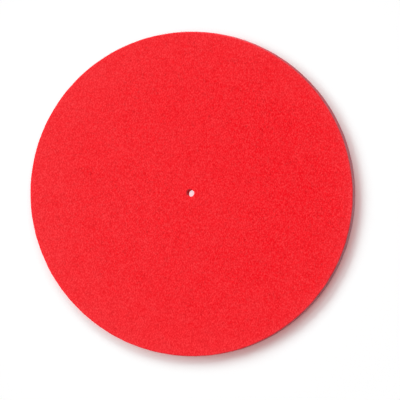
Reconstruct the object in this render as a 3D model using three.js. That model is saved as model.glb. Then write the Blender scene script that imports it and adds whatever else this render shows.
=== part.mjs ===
// Felt mat for the platter of a record player: one flat disc of pressed wool felt,
// die-cut to a circle and punched in the middle, where it drops over the platter's spindle.
//
// Millimetres, +Z up. The origin is the centre of the underside, which lies on the platter.
// The record lies on the flat face at z = FELT_THICKNESS.
//
// Felt gives way before a blade cuts through it. So each cut edge is rolled over where the
// blade went in, leans outwards below that, and is nearly sharp where the blade came out.

import * as THREE from "three";

// The felt sheet and its outline
const MAT_DIAMETER = 300;
const FELT_THICKNESS = 3;

// The hole for the spindle
const SPINDLE_DIAMETER = 7.1;
const SPINDLE_CLEARANCE = 0.1; // all round

// The die's cut round the outside
const RIM_ROLL_WIDTH = 0.5;
const RIM_ROLL_DEPTH = 0.8;
const RIM_LEAN = 0.2; // how much further out the foot of the wall is than its top
const RIM_FOOT_RADIUS = 0.3;

// The punch's cut round the spindle hole
const HOLE_ROLL_WIDTH = 0.35;
const HOLE_ROLL_DEPTH = 0.6;
const HOLE_FOOT_RADIUS = 0.2;

// Smoothness of the solid
const STEPS_ROUND = 144;
const RIM_ROLL_STEPS = 7;
const HOLE_ROLL_STEPS = 4;
const FOOT_STEPS = 3;

const FELT_RED = new THREE.Color(0xf62a31);

// A quarter of an ellipse as profile points (distance from the axis, height). The angles are
// in degrees, counted from straight out towards straight up.
function quarterArc(centre, width, height, fromDegrees, toDegrees, steps) {
  const points = [];
  for (let i = 0; i <= steps; i++) {
    const angle = THREE.MathUtils.degToRad(
      THREE.MathUtils.lerp(fromDegrees, toDegrees, i / steps),
    );
    points.push(
      new THREE.Vector2(
        centre.x + width * Math.cos(angle),
        centre.y + height * Math.sin(angle),
      ),
    );
  }
  return points;
}

// The outer edge, from the underside up to the face.
function rimProfile() {
  const footRadius = MAT_DIAMETER / 2;
  const rollRadius = footRadius - RIM_LEAN;
  const foot = quarterArc(
    new THREE.Vector2(footRadius - RIM_FOOT_RADIUS, RIM_FOOT_RADIUS),
    RIM_FOOT_RADIUS,
    RIM_FOOT_RADIUS,
    -90,
    0,
    FOOT_STEPS,
  );
  const roll = quarterArc(
    new THREE.Vector2(rollRadius - RIM_ROLL_WIDTH, FELT_THICKNESS - RIM_ROLL_DEPTH),
    RIM_ROLL_WIDTH,
    RIM_ROLL_DEPTH,
    0,
    90,
    RIM_ROLL_STEPS,
  );
  return [...foot, ...roll];
}

// The edge of the spindle hole, from the face down to the underside.
function holeProfile() {
  const wallRadius = SPINDLE_DIAMETER / 2 + SPINDLE_CLEARANCE;
  const roll = quarterArc(
    new THREE.Vector2(wallRadius + HOLE_ROLL_WIDTH, FELT_THICKNESS - HOLE_ROLL_DEPTH),
    HOLE_ROLL_WIDTH,
    HOLE_ROLL_DEPTH,
    90,
    180,
    HOLE_ROLL_STEPS,
  );
  const foot = quarterArc(
    new THREE.Vector2(wallRadius + HOLE_FOOT_RADIUS, HOLE_FOOT_RADIUS),
    HOLE_FOOT_RADIUS,
    HOLE_FOOT_RADIUS,
    180,
    270,
    FOOT_STEPS,
  );
  return [...roll, ...foot];
}

// The felt between the two cut edges, turned about the spindle's axis. The straight stretches
// between the edges are the face that the record lies on and the underside.
function feltGeometry() {
  const profile = [...rimProfile(), ...holeProfile()];
  profile.push(profile[0].clone());
  const geometry = new THREE.LatheGeometry(profile, STEPS_ROUND);
  geometry.rotateX(Math.PI / 2); // a lathe turns about Y, and the spindle stands along Z
  return geometry;
}

function makeFeltMat() {
  const felt = new THREE.MeshStandardMaterial({
    color: FELT_RED,
    roughness: 0.97,
    metalness: 0,
  });
  const mat = new THREE.Mesh(feltGeometry(), felt);
  mat.name = "felt_mat";
  return mat;
}

const turntableMat = new THREE.Group();
turntableMat.add(makeFeltMat());

export default turntableMat;
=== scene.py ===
"""Red felt mat of a record player's platter, seen from nearly straight above on a white ground.

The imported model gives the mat's place and size. This script dresses it: the felt body with
its slightly uneven faces and die-cut edges, the wool fibres that lie on it and stray from its
edges, and the plain studio round it. Lengths are in metres.
"""

import math

import bpy
import numpy as np
from mathutils import Matrix, Vector, noise


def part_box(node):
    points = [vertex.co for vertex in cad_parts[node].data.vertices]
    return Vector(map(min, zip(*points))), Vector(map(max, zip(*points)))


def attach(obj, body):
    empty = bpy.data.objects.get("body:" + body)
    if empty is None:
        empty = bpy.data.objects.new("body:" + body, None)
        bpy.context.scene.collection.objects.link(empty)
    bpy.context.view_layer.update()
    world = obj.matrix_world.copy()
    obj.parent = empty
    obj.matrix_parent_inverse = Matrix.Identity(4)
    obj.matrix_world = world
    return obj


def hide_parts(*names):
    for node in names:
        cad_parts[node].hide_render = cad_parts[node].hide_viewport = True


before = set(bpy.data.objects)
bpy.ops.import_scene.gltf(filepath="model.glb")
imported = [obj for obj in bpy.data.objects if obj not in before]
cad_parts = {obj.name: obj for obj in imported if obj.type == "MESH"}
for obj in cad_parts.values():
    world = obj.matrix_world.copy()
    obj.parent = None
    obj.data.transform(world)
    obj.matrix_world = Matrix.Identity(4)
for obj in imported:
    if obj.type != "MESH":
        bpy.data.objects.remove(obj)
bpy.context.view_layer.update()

MM = 0.001
TURN = 2 * math.pi
UPRIGHT = np.array([0.0, 0.0, 1.0])

# The mat, from the frame
FELT_NODE = "felt_mat"
felt_low, felt_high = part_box(FELT_NODE)
MAT_RADIUS = (felt_high.x - felt_low.x) / 2
FELT_TOP = felt_high.z

# The spindle hole, as the solid has it
HOLE_RADIUS = 3.65 * MM

# The die's cut round the outside and the punch's cut round the hole
RIM_ROLL_WIDTH = 0.5 * MM
RIM_ROLL_DEPTH = 0.8 * MM
RIM_LEAN = 0.2 * MM
RIM_FOOT = 0.3 * MM
HOLE_ROLL_WIDTH = 0.95 * MM
HOLE_ROLL_DEPTH = 0.6 * MM
HOLE_FOOT = 0.2 * MM
HOLE_SPRING = 0.65 * MM  # how far the felt below the roll springs back into the hole
HOLE_FOOT_SPRING = 0.35 * MM

# Both cuts slant nearly the same way, so the face lies a little to one side of the underside
CUT_SLANT = 2.15 * MM
RIM_SLANT_SIDE = math.radians(10)
HOLE_SLANT_SIDE = math.radians(-24)
CUT_SLANT_PIVOT = 0.6  # the share of the felt's thickness at which the slant shifts nothing

# Felt gives as it is cut, so the mat is drawn out a little along one diameter
DRAWN_SHARE = 0.0042
DRAWN_SIDE = math.radians(-58)

# How a cut's colour comes in down its roll, and where the rim's is palest and darkest: pale as
# painted light on its side in the lamps' shade, darker as painted shade where the lamps reach it
# from the side
CUT_SHADE_FULL = 0.6  # the share of the way down the roll
RIM_SHADED_SIDE = math.radians(-15)
RIM_PAINTED_SHADE_SIDE = math.radians(75)
RIM_PAINTED_SHADE_MOST = 1.45  # above 1, because the two sides' falls are never both full

# The rim cut's colours, its painted light and painted shade included, reach a little onto the face
# beside it
CUT_SPILL_MOST = 0.05
CUT_SPILL_REACH = 3 * MM

# Size of the body's triangles
FACE_CELL = 1.15 * MM
FACE_RING_STEP = 1.05 * MM
UNDERSIDE_CELL = 2.3 * MM
CELL_NUDGE = 0.2  # the share of a cell by which a point on a flat side strays
RIM_POINTS = 880
HOLE_POINTS = 52
ROLL_STEPS = 6
WALL_STEPS = 3
FOOT_STEPS = 3

# How uneven felt is: height and width of its unevenness, and its place in the noise
FACE_SWELL = (0.020 * MM, 7 * MM, 3.1)
FACE_PILL = (0.012 * MM, 2.4 * MM, 17.9)
EDGE_WANDER = (0.16 * MM, 9 * MM, 41.3)
EDGE_LIFT = (0.096 * MM, 9 * MM, 77.1)
EDGE_LIFT_FULL = 0.4 * FELT_TOP  # below this height the lift dies away to the underside
EDGE_HIGHEST = FELT_TOP + 0.05 * MM
RIM_TEETH = (0.10 * MM, 1.6 * MM, 58.7)
HOLE_TEETH = (0.24 * MM, 2.1 * MM, 58.7)
UNDERSIDE_GAP = 0.03 * MM
UNDERSIDE_SWELL = (UNDERSIDE_GAP, 4 * MM, 91.7)

# Each piece's bake map: the face with both cut edges is one round island, the underside another
FACE_ISLAND = (0.405, 0.405, 0.4)
UNDERSIDE_ISLAND = (0.812, 0.812, 0.18)
HOLE_MAP_RADIUS = 0.4 * MM  # where the foot of the hole's wall lies in the face's island
FIBRE_MAP_MARGIN = 0.1

# All fibres
FIBRE_RADIUS = 0.028 * MM
FIBRE_SIDES = 3
FIBRE_TAPER = 0.55  # the share of its radius that a fibre loses towards each end
FIBRE_SHADE = (0.5, 0.19)  # mean and spread, from the darkest wool at 0 to the palest at 1
NEARLY_UPRIGHT = 0.05  # a fibre that leans less than this, as a sine, counts as upright

# Fibres that lie on the flat sides
FACE_FIBRES = 7400  # in each of the face's two pieces
UNDERSIDE_FIBRES = 4200
LYING_LENGTHS = (2.5 * MM, 6.5 * MM)
LYING_WIDTHS = (0.7, 1.15)  # least and most, as shares of the usual radius
LYING_BEND = 1.1  # the spread of the angle by which a fibre turns along its length
LYING_STEPS = 4
LYING_LIFT = 0.022 * MM  # the spread of the height at which its middle stands off the felt
LYING_BURY = 0.03 * MM  # how deep its ends are sunk in the felt
LYING_FROM_HOLE = 4 * MM
LYING_FROM_RIM = 4.5 * MM

# Fibres that stray from the cut edges
RIM_FIBRES = 7000
HOLE_FIBRES = 260
STRAY_SHORTEST = 0.25 * MM
RIM_STRAY_LONGEST = 1.5 * MM
HOLE_STRAY_LONGEST = 0.9 * MM
STRAY_LENGTH_SPREAD = (1.2, 3.2)  # a beta distribution, in which most are short
STRAY_WIDTHS = (0.55, 0.95)  # as for the lying ones
STRAY_BURY = 0.2 * MM  # how deep in the felt they are rooted
STRAY_STEPS = 3
STRAY_ROOTS = (0.02, 0.93)  # the shares of the way down a cut between which they are rooted
STRAY_SIDEWAYS = (0, 0.9)  # mean and spread, as for the next three
STRAY_LIFT = (0.1, 0.45)
STRAY_CURL = (0, 0.6)
STRAY_DROOP = (0.2, 0.4)

# Colours: the felt from its darkest to its palest, its cuts with their painted light and painted
# shade, and single fibres
FELT_SHADES = (
    (0.31, (0.866, 0.003, 0.009)),
    (0.50, (0.930, 0.0152, 0.0242)),
    (0.69, (0.990, 0.040, 0.048)),
)
# painted shade: the cuts go deep red on their side that faces the lamps, toning down the lamps'
# light there
LIT_CUT_PAINTED_SHADE = (0.50, 0.009, 0.014)
# the rim's cut on its side in the lamps' shade: partly its paler, greyer wool, partly painted light
RIM_CUT_PALE_AND_PAINTED_LIGHT = (1.00, 0.50, 0.57)
# painted shade: darker where the lamps reach the rim's cut from the side
RIM_PAINTED_SHADE = (0.33, 0.05, 0.06)
# painted light: the hole's wall on its side in the lamps' shade is paler than the felt
HOLE_SHADED_CUT_PAINTED_LIGHT = (1.00, 0.070, 0.085)
FIBRE_SHADES = (
    (0.05, (0.80, 0.006, 0.011)),
    (0.50, (0.93, 0.016, 0.024)),
    (0.95, (1.00, 0.075, 0.085)),
)

# The felt's grain. Scales are in noise cells a metre.
MOTTLE_SCALE = 900
MOTTLE_STRETCH = (1.3, 0.68, 1)
STRAND_SCALE = 520
STRAND_STRETCH = (1.0, 5.5, 1.0)
STRAND_TURNS = (0.3, 1.1, 1.9, 2.7)
WEB_STRENGTH = 0.35
WEB_MIDDLE = 0.6
CUT_GRAIN = (0.9, 0.42)  # factor and offset by which the grain shows on a cut
FELT_ROUGHNESS = (0.2, 0.82)  # factor and offset by which the mottle makes it rougher
BUMP_STRENGTH = 0.35
BUMP_DEPTH = 0.06 * MM
FIBRE_CHANGE = 0.3  # how much a fibre's shade changes along it
FIBRE_CHANGE_SCALE = 1400
FIBRE_ROUGHNESS = 0.9

# The pale bloom on the face: how much white it adds, and where. Towards the left, the lamps' side,
# it is a painted sheen; near the rim it is simply paler, and it comes in patches at random.
PAINTED_SHEEN_AT_LEFT = 0.010
PALE_AT_RIM = 0.006
PALE_PATCHES = 0.012
PALE_PATCH_SCALE = 60
PAINTED_SHEEN_REACH = 1.2 * MAT_RADIUS
PALE_RIM_RANGE = (0.6 * MAT_RADIUS, 1.1 * MAT_RADIUS)

# What the photograph shows of the mat, in its pixels
PHOTO_SIDE = 400
MAT_PIXELS = 324.0
MAT_CENTRE_PIXEL = (192.62, 194.0)

# The camera's place, as seen from the mat
CAMERA_DISTANCE = 1.2
CAMERA_TILT = math.radians(3.7)
CAMERA_SIDE = math.radians(-25)
SENSOR_WIDTH = 36

# The light: shares of the whole, which shows a colour as it is written
LAMP_DISTANCE = 20.0
LAMP_CELLS = 40
LIGHT_SIDE = math.radians(143)
KEY = {"share": 0.397, "elevation": math.radians(12.2), "half_wide": 34.5, "half_high": 3.65}
WING = {"elevation": math.radians(17.8), "half_wide": 30, "half_high": 6.5}
WINGS = ((-55, 0.171), (0, 0.080), (48, 0.167))  # degrees from the key's side, and share
FILL_SHARE = 0.185

# The ground: it shows the shadow near the mat, and turns to plain white further out
FLOOR_SIZE = 12.0
FLOOR_FADE = (0.19, 0.26)  # it begins to turn white at the first distance, and is at the second
FLOOR_GREY = 0.9
FLOOR_LIGHT = 1.018
# the shadow's warmth is painted light: the ground's diffuse keeps this much, and a red glow makes
# up the rest
SHADOW_TINT = (0.715, 1.0, 1.0)
# painted light: a glow on the ground under the spindle hole, which lifts the mat's shadow there
HOLE_GLOW = (0.37, 0.56, 0.60)
HOLE_GLOW_RADIUS = 6 * MM

random = np.random.default_rng(7)


# Shapes of the body


def quarter_arc(centre, width, height, start, end, steps):
    """Points (radius, height) on a quarter of an ellipse. Angles in degrees from straight out."""
    angles = np.radians(np.linspace(start, end, steps + 1))
    return [(centre[0] + width * math.cos(a), centre[1] + height * math.sin(a)) for a in angles]


def straight(start, end, steps):
    """The points between two ends of a straight stretch, without the ends themselves."""
    shares = np.linspace(0, 1, steps + 1)[1:-1]
    return [tuple(np.array(start) * (1 - s) + np.array(end) * s) for s in shares]


def rim_profile():
    """The outer cut, from the edge of the face down to the underside."""
    roll_radius = MAT_RADIUS - RIM_LEAN
    roll = quarter_arc(
        (roll_radius - RIM_ROLL_WIDTH, FELT_TOP - RIM_ROLL_DEPTH),
        RIM_ROLL_WIDTH, RIM_ROLL_DEPTH, 90, 0, ROLL_STEPS,
    )
    foot = quarter_arc(
        (MAT_RADIUS - RIM_FOOT, RIM_FOOT), RIM_FOOT, RIM_FOOT, 0, -90, FOOT_STEPS
    )
    return roll + straight(roll[-1], foot[0], WALL_STEPS) + foot


def hole_profile():
    """The punched cut, from the edge of the face down to the underside."""
    wall_radius = HOLE_RADIUS - HOLE_SPRING
    foot_radius = HOLE_RADIUS - HOLE_FOOT_SPRING
    roll = quarter_arc(
        (wall_radius + HOLE_ROLL_WIDTH, FELT_TOP - HOLE_ROLL_DEPTH),
        HOLE_ROLL_WIDTH, HOLE_ROLL_DEPTH, 90, 180, ROLL_STEPS,
    )
    foot = quarter_arc(
        (foot_radius + HOLE_FOOT, HOLE_FOOT), HOLE_FOOT, HOLE_FOOT, 180, 270, FOOT_STEPS
    )
    return roll + straight(roll[-1], foot[0], WALL_STEPS) + foot


def as_cut(places):
    """The places on the real mat, which is a little out of round and slants at its cuts."""
    x = places[..., 0]
    y = places[..., 1]
    z = places[..., 2]
    turn = 2 * DRAWN_SIDE
    shift = CUT_SLANT * (CUT_SLANT_PIVOT - z / FELT_TOP)
    side = HOLE_SLANT_SIDE + (RIM_SLANT_SIDE - HOLE_SLANT_SIDE) * np.hypot(x, y) / MAT_RADIUS
    moved_x = x + DRAWN_SHARE * (x * math.cos(turn) + y * math.sin(turn))
    moved_y = y + DRAWN_SHARE * (x * math.sin(turn) - y * math.cos(turn))
    moved_x += shift * np.cos(side)
    moved_y += shift * np.sin(side)
    return np.stack([moved_x, moved_y, z], axis=-1)


def ripple(x, y, z, unevenness):
    """Smooth noise of the given unevenness at a point."""
    height, width, seed = unevenness
    return height * noise.noise(Vector((x / width, y / width, z / width + seed)))


def face_height(x, y):
    """Height of the felt's upper surface."""
    return FELT_TOP + ripple(x, y, 0, FACE_SWELL) + ripple(x, y, 0, FACE_PILL)


def underside_height(x, y):
    """Height of the felt's lower surface, which rests on the ground here and there."""
    return UNDERSIDE_GAP + ripple(x, y, 0, UNDERSIDE_SWELL)


def edge_place(radius, height, outwards, teeth):
    """A point on a cut edge, which wanders and has small teeth. outwards is 1 on the rim."""

    def place(angle):
        x = math.cos(angle)
        y = math.sin(angle)
        wander = ripple(x * radius, y * radius, height, EDGE_WANDER)
        tooth = ripple(x * radius, y * radius, height, teeth)
        out = radius + outwards * (wander + tooth)
        lift_share = min(height / EDGE_LIFT_FULL, 1)
        up = height + lift_share * ripple(x * radius, y * radius, 0, EDGE_LIFT)
        return (x * out, y * out, min(max(up, 0), EDGE_HIGHEST))

    return place


def flat_place(radius, cell, height_at):
    """A point on a flat side, nudged so that the rings don't show."""

    def place(angle):
        out = radius + random.uniform(-CELL_NUDGE, CELL_NUDGE) * cell
        turn = angle + random.uniform(-CELL_NUDGE, CELL_NUDGE) * cell / radius
        x = math.cos(turn) * out
        y = math.sin(turn) * out
        return (x, y, height_at(x, y))

    return place


class FeltMesh:
    """Vertices and triangles of the body, laid down ring by ring."""

    def __init__(self):
        self.places = []
        self.rim_cut = []
        self.hole_cut = []
        self.map_radius = []
        self.triangles = []
        self.underside_from = 0

    def add_ring(self, count, place, map_radius, rim_cut=0, hole_cut=0):
        """A ring of count points. place(angle) gives a point, and a cut is 1 on a cut edge."""
        first = len(self.places)
        phase = random.uniform(0, 1)
        for i in range(count):
            angle = TURN * (i + phase) / count
            self.places.append(place(angle))
        self.rim_cut += [rim_cut] * count
        self.hole_cut += [hole_cut] * count
        self.map_radius += [map_radius] * count
        return {"first": first, "count": count, "phase": phase}

    def stitch(self, inner, outer):
        """Triangles between two rings, whose counts may differ."""

        def vertex(ring, i):
            return ring["first"] + i % ring["count"]

        def angle(ring, i):
            return (i + ring["phase"]) / ring["count"]

        i = 0
        j = 0
        while i < inner["count"] or j < outer["count"]:
            inner_next = i < inner["count"] and (
                j == outer["count"] or angle(inner, i + 1) <= angle(outer, j + 1)
            )
            if inner_next:
                self.triangles.append((vertex(inner, i), vertex(outer, j), vertex(inner, i + 1)))
                i += 1
            else:
                self.triangles.append((vertex(inner, i), vertex(outer, j), vertex(outer, j + 1)))
                j += 1


def arc_lengths(profile):
    """Distance along a profile from its first point to each of its points."""
    steps = np.hypot(*np.diff(np.array(profile), axis=0).T)
    return np.concatenate([[0], np.cumsum(steps)])


def rim_cut_spill(radius):
    """How much of the rim cut's colours the face takes at this radius: only close to the rim."""
    return CUT_SPILL_MOST * math.exp((radius - MAT_RADIUS) / CUT_SPILL_REACH)


def cut_share(along):
    """How much of a cut's colour shows, its painted light and painted shade included, at this share
    of the way down its roll.
    """
    return min(along / CUT_SHADE_FULL, 1)


def hole_rings(mesh, profile):
    """The punched cut, from the underside up to the face."""
    arc = arc_lengths(profile)
    face_inner = profile[0][0]
    squeeze = (face_inner - HOLE_MAP_RADIUS) / arc[-1]
    rings = []
    for (radius, height), along in reversed(list(zip(profile, arc))):
        map_radius = face_inner - along * squeeze
        cut = cut_share(along / arc[ROLL_STEPS])
        place = edge_place(radius, height, -1, HOLE_TEETH)
        rings.append(mesh.add_ring(HOLE_POINTS, place, map_radius, hole_cut=cut))
    return rings


def face_rings(mesh, inner, outer):
    """The face, from the hole's cut out to the rim's."""
    rings = []
    ring_count = round((outer - inner) / FACE_RING_STEP)
    for radius in np.linspace(inner, outer, ring_count + 1)[1:-1]:
        count = max(HOLE_POINTS, round(TURN * radius / FACE_CELL))
        place = flat_place(radius, FACE_CELL, face_height)
        rings.append(mesh.add_ring(count, place, radius, rim_cut=rim_cut_spill(radius)))
    return rings


def rim_rings(mesh, profile):
    """The outer cut, from the face down to the underside."""
    arc = arc_lengths(profile)
    rings = []
    for (radius, height), along in zip(profile, arc):
        spill = rim_cut_spill(radius)
        cut = spill + (1 - spill) * cut_share(along / arc[ROLL_STEPS])
        place = edge_place(radius, height, 1, RIM_TEETH)
        rings.append(mesh.add_ring(RIM_POINTS, place, profile[0][0] + along, rim_cut=cut))
    return rings


def underside_rings(mesh, outer, inner):
    """The underside, from the rim's cut in to the hole's."""
    rings = []
    for radius in np.arange(outer - UNDERSIDE_CELL, inner + UNDERSIDE_CELL, -UNDERSIDE_CELL):
        count = max(HOLE_POINTS, round(TURN * radius / UNDERSIDE_CELL))
        place = flat_place(radius, UNDERSIDE_CELL, underside_height)
        rings.append(mesh.add_ring(count, place, radius))
    return rings


def felt_rings():
    """The body as one closed surface: hole, face, rim and underside, stitched ring to ring.

    Also gives the radius that the face's island of the bake map reaches.
    """
    mesh = FeltMesh()
    hole = hole_profile()
    rim = rim_profile()
    rings = hole_rings(mesh, hole)
    rings += face_rings(mesh, hole[0][0], rim[0][0])
    rings += rim_rings(mesh, rim)
    for inner, outer in zip(rings, rings[1:]):
        mesh.stitch(inner, outer)

    mesh.underside_from = len(mesh.triangles)
    under = [rings[-1], *underside_rings(mesh, rim[-1][0], hole[-1][0]), rings[0]]
    for outer, inner in zip(under, under[1:]):
        mesh.stitch(outer, inner)
    return mesh, rim[0][0] + arc_lengths(rim)[-1]


def write_body_map(data, mesh, widest):
    """The bake map: the face with its cut edges laid flat as one disc, the underside as another."""
    places = np.array(mesh.places)
    angles = np.arctan2(places[:, 1], places[:, 0])
    circle = np.stack([np.cos(angles), np.sin(angles)], axis=1)
    corners = np.array(mesh.triangles).ravel()
    under = np.zeros(len(corners), bool)
    under[mesh.underside_from * 3:] = True

    def island(centre_x, centre_y, radius, reach, outs):
        scaled = circle * (outs / reach * radius)[:, None]
        return scaled[corners] + np.array([centre_x, centre_y])

    face = island(*FACE_ISLAND, widest, np.array(mesh.map_radius))
    below = island(*UNDERSIDE_ISLAND, MAT_RADIUS, np.hypot(places[:, 0], places[:, 1]))
    uv = np.where(under[:, None], below, face)
    layer = data.uv_layers.new(name="OFBake")
    layer.data.foreach_set("uv", uv.astype(np.float32).ravel())


def make_mesh(name, places, faces):
    data = bpy.data.meshes.new(name)
    data.from_pydata(places, [], faces)
    piece = bpy.data.objects.new(name, data)
    bpy.context.scene.collection.objects.link(piece)
    return piece


def add_number(data, name, values):
    """A number for each vertex, which the materials read by its name."""
    attribute = data.attributes.new(name, "FLOAT", "POINT")
    attribute.data.foreach_set("value", np.asarray(values, np.float32))


def write_cut_shares(data, mesh):
    """How much of each of the cuts' shades a vertex shows.

    The colours are painted by side. On the rim the cut is pale where it lies in the lamps' shade,
    partly its greyer wool and partly painted light;
    it is darker where the lamps reach it from the side and deep red on the lamps' side, both
    painted shade.
    In the hole the wall on the shaded side is pale, painted light, and the wall facing the lamps
    deep red, painted shade.
    """
    places = np.array(mesh.places)
    angles = np.arctan2(places[:, 1], places[:, 0])

    def facing_side(side):
        return 0.5 + 0.5 * np.cos(angles - side)

    rim_cut = np.array(mesh.rim_cut)
    hole_cut = np.array(mesh.hole_cut)
    # painted light: the rim's cut is pale on its side in the lamps' shade, partly its greyer wool
    rim_shaded = facing_side(RIM_SHADED_SIDE) ** 2
    # painted shade on the rim's cut where the lamps reach it from the side
    rim_painted_shade = RIM_PAINTED_SHADE_MOST * facing_side(RIM_SHADED_SIDE) * facing_side(RIM_PAINTED_SHADE_SIDE) ** 4
    # the hole's wall that faces the lamps takes the painted shade; its other side takes painted
    # light
    hole_lit_side = facing_side(HOLE_SLANT_SIDE)
    add_number(data, "lit_cut_painted_shade", rim_cut * (1 - rim_shaded) + hole_cut * hole_lit_side)
    add_number(data, "rim_cut", rim_cut * rim_shaded)
    add_number(data, "rim_painted_shade", rim_cut * rim_painted_shade)
    # painted light on the hole's wall on its shaded side
    add_number(data, "hole_cut", hole_cut * (1 - hole_lit_side))


def make_felt_body():
    mesh, widest = felt_rings()
    body = make_mesh("felt_body", as_cut(np.array(mesh.places)), mesh.triangles)
    write_cut_shares(body.data, mesh)
    write_body_map(body.data, mesh, widest)
    body.data.shade_smooth()
    return body


# Fibres


def tube_places(lines, radii):
    """The corners of thin tubes along the lines, thinner towards their ends."""
    ahead = np.gradient(lines, axis=1)
    ahead /= np.linalg.norm(ahead, axis=2, keepdims=True)
    side = np.cross(ahead, np.broadcast_to(UPRIGHT, ahead.shape))
    upright = np.linalg.norm(side, axis=2, keepdims=True) < NEARLY_UPRIGHT
    side = np.where(upright, np.array([1.0, 0.0, 0.0]), side)
    side /= np.linalg.norm(side, axis=2, keepdims=True)
    down = np.cross(ahead, side)

    taper = 1 - FIBRE_TAPER * np.abs(np.linspace(-1, 1, lines.shape[1])) ** 3
    width = radii[:, None, None] * taper[None, :, None]
    corners = []
    for k in range(FIBRE_SIDES):
        angle = TURN * k / FIBRE_SIDES
        corners.append(lines + width * (side * math.cos(angle) + down * math.sin(angle)))
    return np.stack(corners, axis=2).reshape(-1, 3)


def tube_faces(points):
    """The walls and then the two end caps of one tube, with this many points along it."""
    ring = np.arange(points - 1)[:, None] * FIBRE_SIDES
    here = np.arange(FIBRE_SIDES)[None, :]
    beside = (here + 1) % FIBRE_SIDES
    walls = np.stack(
        [ring + here, ring + beside, ring + beside + FIBRE_SIDES, ring + here + FIBRE_SIDES],
        axis=2,
    ).reshape(-1, 4)
    last = (points - 1) * FIBRE_SIDES
    caps = [list(range(FIBRE_SIDES))[::-1], [last + k for k in range(FIBRE_SIDES)]]
    return walls.tolist() + caps


def write_fibre_map(data, fibres, walls):
    """Each fibre has its own cell of the bake map, with a strip for each of its faces."""
    side = math.ceil(math.sqrt(fibres))
    cells = np.arange(fibres)
    low = np.stack([cells % side, cells // side], axis=1) / side
    strips = walls + 2
    corner_x = []
    corner_y = []
    for strip in range(strips):
        left = strip / strips
        right = (strip + 1) / strips
        if strip < walls:
            corner_x += [left, right, right, left]
            corner_y += [0, 0, 1, 1]
        else:
            corner_x += [left, right, left]
            corner_y += [0, 0, 1]
    corners = np.stack([corner_x, corner_y], axis=1)
    inside = corners * (1 - 2 * FIBRE_MAP_MARGIN) + FIBRE_MAP_MARGIN
    uv = low[:, None, :] + inside[None, :, :] / side
    layer = data.uv_layers.new(name="OFBake")
    layer.data.foreach_set("uv", uv.astype(np.float32).ravel())


def make_fibres(name, lines, widths):
    """A piece of closed tubes along lines, given as an array of fibre, step and place.

    widths are the least and the most radius of a fibre, as shares of the usual one.
    """
    fibres, points, _ = lines.shape
    radii = FIBRE_RADIUS * random.uniform(*widths, fibres)
    shades = np.clip(random.normal(*FIBRE_SHADE, fibres), 0, 1)
    tube = tube_faces(points)
    corners = points * FIBRE_SIDES
    faces = []
    for first in range(0, fibres * corners, corners):
        faces += [[first + corner for corner in face] for face in tube]

    piece = make_mesh(name, tube_places(as_cut(lines), radii), faces)
    add_number(piece.data, "shade", np.repeat(shades, corners))
    write_fibre_map(piece.data, fibres, (points - 1) * FIBRE_SIDES)
    piece.data.shade_smooth()
    return piece


def spread_on_face(count, inner, outer):
    """Places spread evenly between two circles."""
    radius = np.sqrt(random.uniform(inner**2, outer**2, count))
    angle = random.uniform(0, TURN, count)
    return np.stack([radius * np.cos(angle), radius * np.sin(angle)], axis=1)


def bent_lines(starts, headings, lengths, bends, steps):
    """Level lines whose heading turns by their bend, as an array of fibre, step and x and y."""
    along = np.linspace(0, 1, steps + 1)
    turned = headings[:, None] + bends[:, None] * (along - 0.5)
    pace = lengths[:, None] / steps
    x = np.cumsum(np.cos(turned) * pace, axis=1)
    y = np.cumsum(np.sin(turned) * pace, axis=1)
    x += starts[:, :1] - x[:, :1]
    y += starts[:, 1:2] - y[:, :1]
    return np.stack([x, y], axis=2)


def make_lying_fibres(name, count, height_at, way):
    """Fibres that lie on a flat side. way is 1 on the face and -1 on the underside."""
    lengths = random.uniform(*LYING_LENGTHS, count)
    middles = spread_on_face(count, HOLE_RADIUS + LYING_FROM_HOLE, MAT_RADIUS - LYING_FROM_RIM)
    headings = random.uniform(0, TURN, count)
    ends = np.stack([np.cos(headings), np.sin(headings)], axis=1) * lengths[:, None] / 2
    bends = random.normal(0, LYING_BEND, count)
    level = bent_lines(middles - ends, headings, lengths, bends, LYING_STEPS)

    arch = np.sin(math.pi * np.linspace(0, 1, LYING_STEPS + 1))
    lift = np.abs(random.normal(0, LYING_LIFT, count)) + LYING_BURY
    ride = lift[:, None] * arch - LYING_BURY
    surface = np.array([[height_at(x, y) for x, y in line] for line in level])
    height = np.maximum(surface + way * ride, FIBRE_RADIUS)
    return make_fibres(name, np.dstack([level, height[:, :, None]]), LYING_WIDTHS)


def edge_roots(profile, count):
    """Places at random along a cut edge's profile, with the way out of the felt there."""
    arc = arc_lengths(profile)
    points = np.array(profile)
    along = random.uniform(*STRAY_ROOTS, count) * arc[-1]
    radius = np.interp(along, arc, points[:, 0])
    height = np.interp(along, arc, points[:, 1])
    step = 0.05 * MM
    out = -(np.interp(along + step, arc, points[:, 1]) - height) / step
    up = (np.interp(along + step, arc, points[:, 0]) - radius) / step
    return radius, height, out, up


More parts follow.
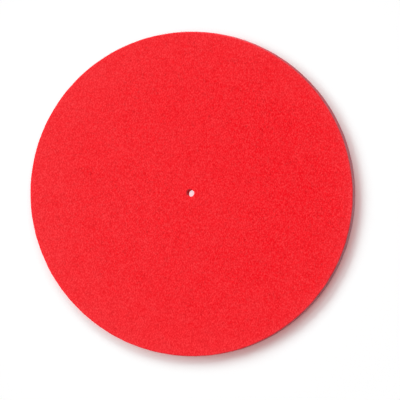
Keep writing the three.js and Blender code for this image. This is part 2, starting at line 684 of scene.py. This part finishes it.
def stray_lines(profile, count, outwards, longest):
    """Centre lines of fibres that stray from a cut edge. outwards is 1 on the rim."""

    def spread(mean_and_spread):
        return random.normal(*mean_and_spread, count)[:, None]

    radius, height, out, up = edge_roots(profile, count)
    angle = random.uniform(0, TURN, count)
    radial = np.stack([np.cos(angle), np.sin(angle), np.zeros(count)], axis=1)
    along_edge = np.stack([-np.sin(angle), np.cos(angle), np.zeros(count)], axis=1)
    away = radial * (np.abs(out) * outwards)[:, None] + UPRIGHT * np.abs(up)[:, None]
    sideways = spread(STRAY_SIDEWAYS) * along_edge
    lift = spread(STRAY_LIFT) * UPRIGHT
    heading = away + sideways + lift
    heading /= np.linalg.norm(heading, axis=1, keepdims=True)
    curl = along_edge * spread(STRAY_CURL)
    curl -= UPRIGHT * np.abs(spread(STRAY_DROOP))

    share = random.beta(*STRAY_LENGTH_SPREAD, count)[:, None]
    length = STRAY_SHORTEST + (longest - STRAY_SHORTEST) * share
    root = radial * radius[:, None] + UPRIGHT * height[:, None] - away * STRAY_BURY
    steps = np.linspace(0, 1, STRAY_STEPS + 1)
    line = [root + heading * length * t + curl * length * t * t * 0.5 for t in steps]
    return np.stack(line, axis=1)


def make_edge_fibres(name):
    """Short fibres that stray from the two cut edges."""
    lines = np.concatenate([
        stray_lines(rim_profile(), RIM_FIBRES, 1, RIM_STRAY_LONGEST),
        stray_lines(hole_profile(), HOLE_FIBRES, -1, HOLE_STRAY_LONGEST),
    ])
    lines[:, :, 2] = np.maximum(lines[:, :, 2], FIBRE_RADIUS)
    return make_fibres(name, lines, STRAY_WIDTHS)


# Material nodes


def new_material(name):
    material = bpy.data.materials.new(name)
    material.use_nodes = True
    material.node_tree.nodes.clear()
    return material, material.node_tree.nodes, material.node_tree.links


def add_ramp(nodes, links, value, stops):
    """The colour at the value, on a ramp through (place, (red, green, blue)) stops."""
    ramp = nodes.new("ShaderNodeValToRGB")
    elements = ramp.color_ramp.elements
    while len(elements) < len(stops):
        elements.new(0.5)
    for element, (place, colour) in zip(elements, stops):
        element.position = place
        element.color = (*colour, 1)
    links.new(value, ramp.inputs["Fac"])
    return ramp.outputs["Color"]


def add_maths(nodes, links, operation, *values):
    """One step of arithmetic. Each value is a number or another node's output."""
    node = nodes.new("ShaderNodeMath")
    node.operation = operation
    for socket, value in zip(node.inputs, values):
        if isinstance(value, (int, float)):
            socket.default_value = value
        else:
            links.new(value, socket)
    return node.outputs["Value"]


def add_scaled(nodes, links, value, factor, offset):
    """The value times the factor, plus the offset."""
    return add_maths(nodes, links, "MULTIPLY_ADD", value, factor, offset)


def add_range(nodes, links, value, start, end, most):
    """0 where the value is at start, and most where it is at end."""
    node = nodes.new("ShaderNodeMapRange")
    node.interpolation_type = "SMOOTHSTEP"
    node.inputs["From Min"].default_value = start
    node.inputs["From Max"].default_value = end
    node.inputs["To Max"].default_value = most
    links.new(value, node.inputs["Value"])
    return node.outputs["Result"]


def add_noise(nodes, links, place, scale, detail):
    node = nodes.new("ShaderNodeTexNoise")
    node.inputs["Scale"].default_value = scale
    node.inputs["Detail"].default_value = detail
    links.new(place, node.inputs["Vector"])
    return node.outputs["Fac"]


def add_length(nodes, links, place):
    """The place's distance from the middle of the underside."""
    node = nodes.new("ShaderNodeVectorMath")
    node.operation = "LENGTH"
    links.new(place, node.inputs[0])
    return node.outputs["Value"]


def stretched(nodes, links, place, turn, stretch):
    """The place turned about the vertical and stretched, for a pattern with a direction."""
    mapping = nodes.new("ShaderNodeMapping")
    mapping.inputs["Rotation"].default_value = (0, 0, turn)
    mapping.inputs["Scale"].default_value = stretch
    links.new(place, mapping.inputs["Vector"])
    return mapping.outputs["Vector"]


def mix_in(nodes, links, share, colour, tint):
    """The colour with a share of a plain tint mixed in."""
    node = nodes.new("ShaderNodeMix")
    node.data_type = "RGBA"
    node.inputs["B"].default_value = (*tint, 1)
    links.new(share, node.inputs["Factor"])
    links.new(colour, node.inputs["A"])
    return node.outputs["Result"]


# Materials of the mat


def add_felt_shader(nodes, links):
    """The cloth itself: dull, with the faint sheen of wool seen from the side."""
    shader = nodes.new("ShaderNodeBsdfPrincipled")
    shader.inputs["Specular IOR Level"].default_value = 0.0
    shader.inputs["Sheen Weight"].default_value = 0.05
    shader.inputs["Sheen Roughness"].default_value = 0.5
    shader.inputs["Sheen Tint"].default_value = (1.0, 0.25, 0.25, 1)
    output = nodes.new("ShaderNodeOutputMaterial")
    links.new(shader.outputs["BSDF"], output.inputs["Surface"])
    return shader


def add_wool(nodes, links, place):
    """A web of matted fibres: thin noise drawn out in several directions, the highest on top."""
    web = None
    for turn in STRAND_TURNS:
        drawn = stretched(nodes, links, place, turn, STRAND_STRETCH)
        strand = add_noise(nodes, links, drawn, STRAND_SCALE, 1)
        web = strand if web is None else add_maths(nodes, links, "MAXIMUM", web, strand)
    return web


def add_bloom_and_painted_sheen(nodes, links, place, colour):
    """A faint pale bloom: patchy, paler close to the rim, and a painted sheen that grows towards
    the left, the lamps' side.
    """
    split = nodes.new("ShaderNodeSeparateXYZ")
    links.new(place, split.inputs["Vector"])
    length = add_length(nodes, links, place)
    # painted sheen: paler towards the left, the lamps' side
    left = add_range(
        nodes, links, split.outputs["X"], PAINTED_SHEEN_REACH, -PAINTED_SHEEN_REACH, PAINTED_SHEEN_AT_LEFT
    )
    near_rim = add_range(nodes, links, length, *PALE_RIM_RANGE, PALE_AT_RIM)
    patches = add_noise(nodes, links, place, PALE_PATCH_SCALE, 2)
    patchy = add_scaled(nodes, links, patches, PALE_PATCHES, -PALE_PATCHES / 2)
    bloom_and_sheen = add_maths(nodes, links, "ADD", add_maths(nodes, links, "ADD", left, near_rim), patchy)
    return mix_in(nodes, links, bloom_and_sheen, colour, (1, 1, 1))


def add_cuts(nodes, links, colour, grain):
    """The colour with the cuts' colours over it, each where its own number says: painted light and
    painted shade by side.
    """
    for attribute, shade_there in (
        ("lit_cut_painted_shade", LIT_CUT_PAINTED_SHADE),
        ("rim_cut", RIM_CUT_PALE_AND_PAINTED_LIGHT),
        ("rim_painted_shade", RIM_PAINTED_SHADE),
        ("hole_cut", HOLE_SHADED_CUT_PAINTED_LIGHT),
    ):
        cut = nodes.new("ShaderNodeAttribute")
        cut.attribute_name = attribute
        grainy_cut = add_maths(nodes, links, "MULTIPLY", cut.outputs["Fac"], grain)
        colour = mix_in(nodes, links, grainy_cut, colour, shade_there)
    return colour


def felt_material():
    """Pressed wool: mottled red, matted fibres, and cut edges coloured by side: greyer in the
    lamps' shade, partly painted light, and deep red or darker where lit, painted shade.
    """
    material, nodes, links = new_material("red_wool_felt")
    place = nodes.new("ShaderNodeTexCoord").outputs["Object"]
    shader = add_felt_shader(nodes, links)

    drawn = stretched(nodes, links, place, 0, MOTTLE_STRETCH)
    mottle = add_noise(nodes, links, drawn, MOTTLE_SCALE, 1.5)
    web = add_wool(nodes, links, place)
    strands = add_scaled(nodes, links, web, WEB_STRENGTH, -WEB_STRENGTH * WEB_MIDDLE)
    shade = add_maths(nodes, links, "ADD", mottle, strands)

    red = add_ramp(nodes, links, shade, FELT_SHADES)
    bloomed = add_bloom_and_painted_sheen(nodes, links, place, red)
    grain = add_scaled(nodes, links, shade, *CUT_GRAIN)
    links.new(add_cuts(nodes, links, bloomed, grain), shader.inputs["Base Color"])
    rough = add_scaled(nodes, links, mottle, *FELT_ROUGHNESS)
    links.new(rough, shader.inputs["Roughness"])

    bump = nodes.new("ShaderNodeBump")
    bump.inputs["Strength"].default_value = BUMP_STRENGTH
    bump.inputs["Distance"].default_value = BUMP_DEPTH
    links.new(web, bump.inputs["Height"])
    links.new(bump.outputs["Normal"], shader.inputs["Normal"])
    return material


def fibre_material():
    """Single wool fibres: each has its own shade, with a little change along it."""
    material, nodes, links = new_material("red_wool_fibre")
    place = nodes.new("ShaderNodeTexCoord").outputs["Object"]
    shader = add_felt_shader(nodes, links)
    own = nodes.new("ShaderNodeAttribute")
    own.attribute_name = "shade"
    along = add_noise(nodes, links, place, FIBRE_CHANGE_SCALE, 1)
    change = add_scaled(nodes, links, along, FIBRE_CHANGE, -FIBRE_CHANGE / 2)
    shade = add_maths(nodes, links, "ADD", own.outputs["Fac"], change)
    links.new(add_ramp(nodes, links, shade, FIBRE_SHADES), shader.inputs["Base Color"])
    shader.inputs["Roughness"].default_value = FIBRE_ROUGHNESS
    return material


# The studio


def seen_directly(nodes, links):
    """1 for the rays by which the camera sees a thing, straight or by gloss, and 0 for light."""
    path = nodes.new("ShaderNodeLightPath")
    seen = add_maths(
        nodes, links, "MAXIMUM", path.outputs["Is Camera Ray"], path.outputs["Is Glossy Ray"]
    )
    return add_maths(nodes, links, "MAXIMUM", seen, path.outputs["Is Transmission Ray"])


def add_emission(nodes, colour):
    node = nodes.new("ShaderNodeEmission")
    node.inputs["Color"].default_value = (*colour, 1)
    node.inputs["Strength"].default_value = 1
    return node


def add_diffuse(nodes, colour):
    node = nodes.new("ShaderNodeBsdfDiffuse")
    node.inputs["Color"].default_value = (*colour, 1)
    return node.outputs["BSDF"]


def add_shaders(nodes, links, first, second):
    node = nodes.new("ShaderNodeAddShader")
    links.new(first, node.inputs[0])
    links.new(second, node.inputs[1])
    return node.outputs["Shader"]


def mix_shaders(nodes, links, share, first, second):
    node = nodes.new("ShaderNodeMixShader")
    links.new(share, node.inputs["Fac"])
    links.new(first, node.inputs[1])
    links.new(second, node.inputs[2])
    return node.outputs["Shader"]


def floor_material():
    """White ground: it shows the mat's shadow near the mat, warmed by a painted red glow and lifted
    under the hole by a painted glow, and plain white further out.
    """
    material, nodes, links = new_material("white_ground")
    place = nodes.new("ShaderNodeTexCoord").outputs["Object"]
    length = add_length(nodes, links, place)
    far = add_range(nodes, links, length, *FLOOR_FADE, 1)

    lit = add_diffuse(nodes, [tint * FLOOR_LIGHT for tint in SHADOW_TINT])
    # painted light: a red glow that only the camera sees, which warms the ground's shadow
    painted_warm_glow = add_emission(nodes, [(1 - tint) * FLOOR_LIGHT for tint in SHADOW_TINT])
    # painted light: the ground under the hole glows, lifting the shadow there
    painted_hole_glow = add_emission(nodes, HOLE_GLOW)
    in_hole = add_maths(nodes, links, "LESS_THAN", length, HOLE_GLOW_RADIUS)
    links.new(in_hole, painted_hole_glow.inputs["Strength"])
    shadowed = add_shaders(nodes, links, lit, painted_warm_glow.outputs["Emission"])
    shadowed = add_shaders(nodes, links, shadowed, painted_hole_glow.outputs["Emission"])
    white = add_emission(nodes, (1, 1, 1)).outputs["Emission"]
    shown = mix_shaders(nodes, links, far, shadowed, white)
    bounce = add_diffuse(nodes, (FLOOR_GREY,) * 3)
    surface = mix_shaders(nodes, links, seen_directly(nodes, links), bounce, shown)
    output = nodes.new("ShaderNodeOutputMaterial")
    links.new(surface, output.inputs["Surface"])
    return material


def make_floor():
    half = FLOOR_SIZE / 2
    corners = [(-half, -half, 0), (half, -half, 0), (half, half, 0), (-half, half, 0)]
    floor = make_mesh("floor", corners, [(0, 1, 2, 3)])
    floor.data.materials.append(floor_material())
    return floor


def make_world():
    """White where the camera sees it, and an even dome of fill light."""
    world = bpy.data.worlds.new("studio")
    world.use_nodes = True
    nodes = world.node_tree.nodes
    links = world.node_tree.links
    nodes.clear()
    strength = nodes.new("ShaderNodeMix")
    strength.data_type = "FLOAT"
    strength.inputs["A"].default_value = FILL_SHARE
    strength.inputs["B"].default_value = 1
    links.new(seen_directly(nodes, links), strength.inputs["Factor"])
    background = nodes.new("ShaderNodeBackground")
    background.inputs["Color"].default_value = (1, 1, 1, 1)
    links.new(strength.outputs["Result"], background.inputs["Strength"])
    output = nodes.new("ShaderNodeOutputWorld")
    links.new(background.outputs["Background"], output.inputs["Surface"])
    bpy.context.scene.world = world


def facing(forward, image_up):
    """Rotation of a camera or lamp that looks along forward, with image_up upright in view."""
    back = -forward.normalized()
    right = image_up.cross(back).normalized()
    up = back.cross(right)
    return Matrix((right, up, back)).transposed()


def lamp_power(share, elevation, wide, high):
    """Watts with which a lamp gives a level white sheet at the mat this share of brightness 1."""
    cells = (np.arange(LAMP_CELLS) + 0.5) / LAMP_CELLS - 0.5
    across, up = np.meshgrid(cells * wide, cells * high)
    height = LAMP_DISTANCE * math.sin(elevation) + up * math.cos(elevation)
    reach = np.sqrt(LAMP_DISTANCE**2 + across**2 + up**2)
    falls = (LAMP_DISTANCE / reach) * (height / reach) / reach**2
    return share * math.pi**2 / falls.mean()


def make_softbox(name, side, share, elevation, half_wide, half_high):
    """A soft lamp to one side. half_wide and half_high are half of what it spans, in degrees."""
    wide = 2 * LAMP_DISTANCE * math.tan(math.radians(half_wide))
    high = 2 * LAMP_DISTANCE * math.tan(math.radians(half_high))
    lamp = bpy.data.lights.new(name, "AREA")
    lamp.shape = "RECTANGLE"
    lamp.size = wide
    lamp.size_y = high
    lamp.energy = lamp_power(share, elevation, wide, high)
    lamp_object = bpy.data.objects.new(name, lamp)
    flat = Vector((math.cos(side), math.sin(side), 0))
    away = flat * math.cos(elevation) + Vector((0, 0, 1)) * math.sin(elevation)
    lamp_object.location = away * LAMP_DISTANCE
    lamp_object.rotation_mode = "QUATERNION"
    lamp_object.rotation_quaternion = facing(-away, Vector((0, 0, 1))).to_quaternion()
    lamp_object.visible_camera = False
    bpy.context.scene.collection.objects.link(lamp_object)


def make_camera():
    """Above the mat and a little to the right, framed as the photograph is."""
    pixel = 2 * MAT_RADIUS / MAT_PIXELS
    side = Vector((math.cos(CAMERA_SIDE), math.sin(CAMERA_SIDE), 0))
    # a tilted view shows the near half larger, so the outline's middle lies nearer the camera
    outline_middle = side * (MAT_RADIUS**2 * math.sin(CAMERA_TILT) / CAMERA_DISTANCE)
    middle = PHOTO_SIDE / 2
    across = (middle - MAT_CENTRE_PIXEL[0]) * pixel
    down = (middle - MAT_CENTRE_PIXEL[1]) * pixel
    target = outline_middle + Vector((across, -down, 0))
    away = side * math.sin(CAMERA_TILT) + Vector((0, 0, 1)) * math.cos(CAMERA_TILT)
    data = bpy.data.cameras.new("camera")
    data.sensor_width = SENSOR_WIDTH
    data.lens = SENSOR_WIDTH * CAMERA_DISTANCE / (PHOTO_SIDE * pixel)
    camera = bpy.data.objects.new("camera", data)
    camera.location = target + away * CAMERA_DISTANCE
    camera.rotation_mode = "QUATERNION"
    camera.rotation_quaternion = facing(-away, Vector((0, 1, 0))).to_quaternion()
    bpy.context.scene.collection.objects.link(camera)
    bpy.context.scene.camera = camera


def make_studio():
    bpy.context.scene.view_settings.view_transform = "Standard"
    make_camera()
    make_world()
    make_softbox("key_softbox", LIGHT_SIDE, **KEY)
    for number, (turn, share) in enumerate(WINGS, 1):
        side = LIGHT_SIDE + math.radians(turn)
        make_softbox(f"wing_softbox_{number}", side, share, **WING)
    return make_floor()


def dress(piece, material):
    """The piece takes its material and moves with the mat."""
    piece.data.materials.append(material)
    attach(piece, "root")


def make_mat(floor):
    body = make_felt_body()
    wool = fibre_material()
    fibres = [
        make_lying_fibres("face_fibres_1", FACE_FIBRES, face_height, 1),
        make_lying_fibres("face_fibres_2", FACE_FIBRES, face_height, 1),
        make_lying_fibres("underside_fibres", UNDERSIDE_FIBRES, underside_height, -1),
        make_edge_fibres("edge_fibres"),
    ]
    dress(body, felt_material())
    for piece in fibres:
        dress(piece, wool)
    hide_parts(FELT_NODE)


make_mat(make_studio())
